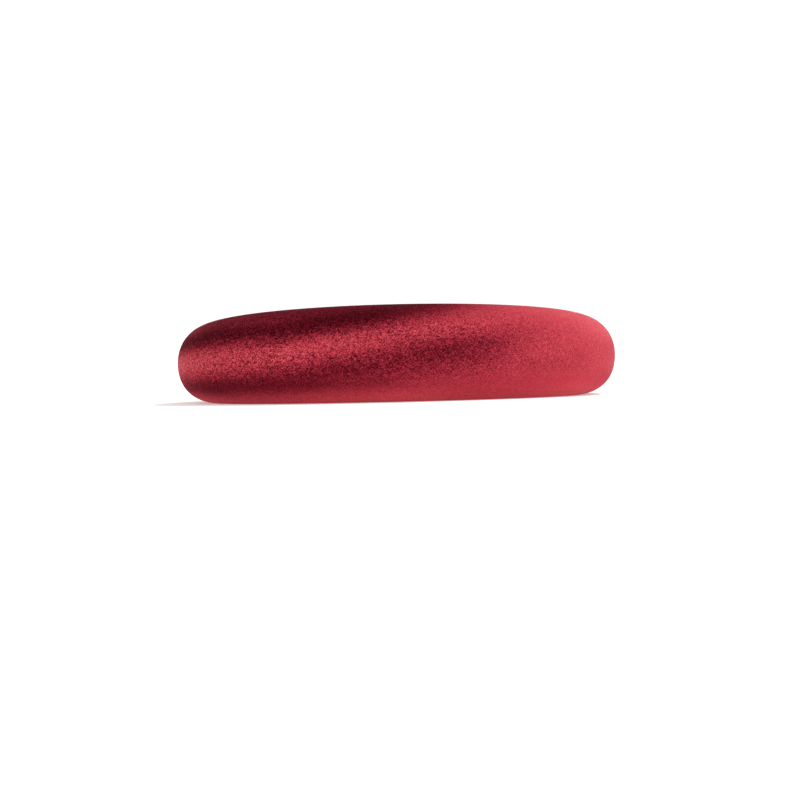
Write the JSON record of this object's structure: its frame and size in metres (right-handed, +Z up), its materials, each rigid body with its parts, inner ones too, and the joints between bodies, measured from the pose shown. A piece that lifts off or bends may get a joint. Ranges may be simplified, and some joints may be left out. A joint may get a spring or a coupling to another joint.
{
  "type": "headband",
  "caption": "Padded velvet headband: a springy open hoop, thick over the crown and tapered to two slim tips, with a ribbon lining on the head's side.",
  "frame": {"origin": "centre of the footprint on the surface the headband lies on: it stands on the lower edge of its two flanks, the crown just clear of the surface", "axes": "+X to the right when looking at the crown from outside, +Y from the crown to the tips, +Z up"},
  "size_m": [0.1644, 0.1568, 0.0351],
  "materials": {
    "velvet": "short-pile velvet, deep red",
    "lining": "rough-pile ribbon, dark red",
    "foam": "open-cell sponge",
    "core_plastic": "natural translucent plastic",
    "tape": "double-sided tape",
    "glue": "hot-melt glue"
  },
  "bodies": {
    "left_half": {"core_band_left": "core_plastic", "core_tape_left": "tape", "foam_pad_left": "foam", "velvet_cover_left": "velvet", "hem_glue_left": "glue", "lining_glue_left": "glue", "lining_ribbon_left": "lining"},
    "right_half": {"core_band_right": "core_plastic", "core_tape_right": "tape", "foam_pad_right": "foam", "velvet_cover_right": "velvet", "hem_glue_right": "glue", "lining_glue_right": "glue", "lining_ribbon_right": "lining"}
  },
  "joints": [
    {"name": "crown_flex", "type": "hinge", "parent": "left_half", "child": "right_half", "pos_m": [0, -0.07855, 0.01845], "axis": [0, -0.0476, -0.9989], "range_deg": [0, 22], "stiffness_Nm_per_rad": 1}
  ]
}
